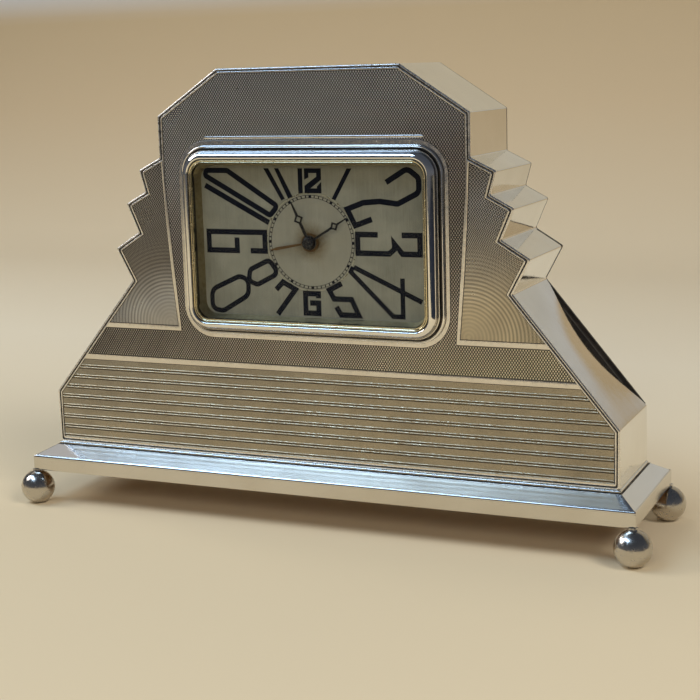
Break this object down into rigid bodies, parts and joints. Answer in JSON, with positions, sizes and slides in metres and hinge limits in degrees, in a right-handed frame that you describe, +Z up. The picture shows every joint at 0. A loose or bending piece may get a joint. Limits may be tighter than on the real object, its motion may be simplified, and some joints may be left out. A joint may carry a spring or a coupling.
{
  "type": "mantel clock",
  "caption": "Stepped Art Deco mantel alarm clock: engine-turned front, silver case on a bevelled plinth with ball feet, rectangular numeral dial, wound from a rear door.",
  "frame": {"origin": "on the table, under the middle of the plinth", "axes": "+X to the right of the dial as it is read, -Y out of the front, +Z up"},
  "size_m": [0.239, 0.0648, 0.159],
  "materials": {
    "silver_polished": "polished silver, lightly tarnished",
    "silver_engine_turned": "engine-turned silver with polished bands",
    "gilt": "worn gilt",
    "glass": "clear",
    "dial_silvered": "aged silvered, with blue-black numerals",
    "hand_black": "blued black steel",
    "hand_brown": "browned steel",
    "dark_wood": "ebonised, satin",
    "carcass_wood": "bare beech",
    "brass": "drawn brass",
    "steel": "bright steel",
    "spring_steel": "blued spring steel",
    "bell_metal": "nickelled"
  },
  "bodies": {
    "case": {"side_band": "silver_polished", "plinth_shell": "silver_polished", "bezel": "silver_polished", "foot_front_left": "silver_polished", "foot_front_right": "silver_polished", "foot_rear_left": "silver_polished", "foot_rear_right": "silver_polished", "front_plate": "silver_engine_turned", "glass_ring": "gilt", "sight_ring": "gilt", "glass": "glass", "dial": "dial_silvered", "back_board": "dark_wood", "carcass": "carcass_wood", "plinth_board": "carcass_wood", "hinge_fixed_leaf": "brass", "hinge_pin": "brass", "wood_screws": "brass", "movement_front_plate": "brass", "movement_back_plate": "brass", "pillars": "brass", "nuts": "brass", "mounting_straps": "brass", "case_screws": "steel", "hairspring": "steel", "time_mainspring": "spring_steel", "alarm_mainspring": "spring_steel", "bell": "bell_metal"},
    "door": {"back_door": "dark_wood", "hinge_door_leaf": "brass", "door_knob": "brass"},
    "minute": {"minute_hand": "hand_black", "hub_cap": "hand_black", "cannon_pinion": "brass", "centre_arbor": "steel", "hand_set_knob": "brass"},
    "hour": {"hour_hand": "hand_black", "hour_wheel": "brass"},
    "minute_wheel": {"minute_wheel": "brass"},
    "alarm_dial": {"alarm_hand": "hand_brown", "alarm_wheel": "brass"},
    "alarm_setter": {"alarm_set_arbor": "steel", "alarm_set_knob": "brass"},
    "centre": {"centre_wheel": "brass"},
    "third": {"third_wheel": "brass"},
    "fourth": {"fourth_wheel": "brass"},
    "escape": {"escape_wheel": "steel"},
    "time_great": {"time_great_wheel": "brass"},
    "pallet": {"pallet_fork": "steel"},
    "balance": {"balance_wheel": "brass"},
    "regulator": {"regulator": "brass"},
    "time_winder": {"time_arbor": "steel", "time_key": "brass"},
    "alarm_winder": {"alarm_arbor": "steel", "alarm_key": "brass"},
    "alarm_great": {"alarm_great_wheel": "brass"},
    "alarm_verge": {"alarm_verge_wheel": "brass"},
    "hammer": {"hammer": "steel"},
    "stop_lever": {"alarm_stop_lever": "brass"}
  },
  "joints": [
    {"name": "door_swing", "type": "hinge", "parent": "case", "child": "door", "pos_m": [-0.041, 0.022, 0.103], "axis": [0, 0, 1], "range_deg": [0, 115]},
    {"name": "minute_turn", "type": "hinge", "parent": "case", "child": "minute", "pos_m": [0, 0, 0.1], "axis": [0, 1, 0], "continuous": true},
    {"name": "hour_turn", "type": "hinge", "parent": "case", "child": "hour", "pos_m": [0, 0, 0.1], "axis": [0, 1, 0], "continuous": true},
    {"name": "minute_wheel_turn", "type": "hinge", "parent": "case", "child": "minute_wheel", "pos_m": [0.0048, 0, 0.09169], "axis": [0, 1, 0], "continuous": true},
    {"name": "alarm_set_turn", "type": "hinge", "parent": "case", "child": "alarm_setter", "pos_m": [-0.01016, 0, 0.10711], "axis": [0, 1, 0], "continuous": true},
    {"name": "alarm_hand_turn", "type": "hinge", "parent": "case", "child": "alarm_dial", "pos_m": [0, 0, 0.1], "axis": [0, 1, 0], "continuous": true},
    {"name": "fourth_turn", "type": "hinge", "parent": "case", "child": "fourth", "pos_m": [-0.00284, 0, 0.11411], "axis": [0, 1, 0], "continuous": true},
    {"name": "third_turn", "type": "hinge", "parent": "case", "child": "third", "pos_m": [0.0054, 0, 0.10935], "axis": [0, 1, 0], "continuous": true},
    {"name": "centre_turn", "type": "hinge", "parent": "case", "child": "centre", "pos_m": [0, 0, 0.1], "axis": [0, 1, 0], "continuous": true},
    {"name": "time_great_turn", "type": "hinge", "parent": "case", "child": "time_great", "pos_m": [-0.0169, 0, 0.08805], "axis": [0, 1, 0], "continuous": true},
    {"name": "escape_turn", "type": "hinge", "parent": "case", "child": "escape", "pos_m": [-0.01171, 0, 0.11255], "axis": [0, 1, 0], "continuous": true},
    {"name": "pallet_rock", "type": "hinge", "parent": "case", "child": "pallet", "pos_m": [-0.01801, 0, 0.11144], "axis": [0, 1, 0], "range_deg": [-6, 6]},
    {"name": "balance_swing", "type": "hinge", "parent": "case", "child": "balance", "pos_m": [-0.02589, 0, 0.11005], "axis": [0, 1, 0], "range_deg": [-220, 220], "stiffness_Nm_per_rad": 0.0000042},
    {"name": "regulator_turn", "type": "hinge", "parent": "case", "child": "regulator", "pos_m": [-0.02589, 0, 0.11005], "axis": [0, 1, 0], "range_deg": [-18, 18]},
    {"name": "time_wind", "type": "hinge", "parent": "case", "child": "time_winder", "pos_m": [-0.0169, 0, 0.08805], "axis": [0, 1, 0], "range_deg": [0, 1890]},
    {"name": "alarm_wind", "type": "hinge", "parent": "case", "child": "alarm_winder", "pos_m": [0.0169, 0, 0.08805], "axis": [0, 1, 0], "range_deg": [-1530, 0]},
    {"name": "alarm_great_turn", "type": "hinge", "parent": "case", "child": "alarm_great", "pos_m": [0.0169, 0, 0.08805], "axis": [0, 1, 0], "continuous": true},
    {"name": "alarm_verge_turn", "type": "hinge", "parent": "case", "child": "alarm_verge", "pos_m": [0.0268, 0, 0.1052], "axis": [0, 1, 0], "continuous": true},
    {"name": "hammer_swing", "type": "hinge", "parent": "case", "child": "hammer", "pos_m": [0.03155, 0, 0.11342], "axis": [0, 1, 0], "range_deg": [-6, 8], "stiffness_Nm_per_rad": 0.004},
    {"name": "stop_lever_turn", "type": "hinge", "parent": "case", "child": "stop_lever", "pos_m": [0, 0, 0.08], "axis": [0, 1, 0], "range_deg": [0, 25]}
  ],
  "couplings": [
    {"joint": "hour_turn", "follows": "minute_turn", "ratio": 0.083333},
    {"joint": "minute_wheel_turn", "follows": "minute_turn", "ratio": -0.33333},
    {"joint": "alarm_hand_turn", "follows": "alarm_set_turn", "ratio": -0.29167},
    {"joint": "third_turn", "follows": "fourth_turn", "ratio": -0.13333},
    {"joint": "centre_turn", "follows": "fourth_turn", "ratio": 0.016667},
    {"joint": "time_great_turn", "follows": "fourth_turn", "ratio": -0.0025},
    {"joint": "escape_turn", "follows": "fourth_turn", "ratio": -8},
    {"joint": "alarm_verge_turn", "follows": "alarm_great_turn", "ratio": -10}
  ]
}
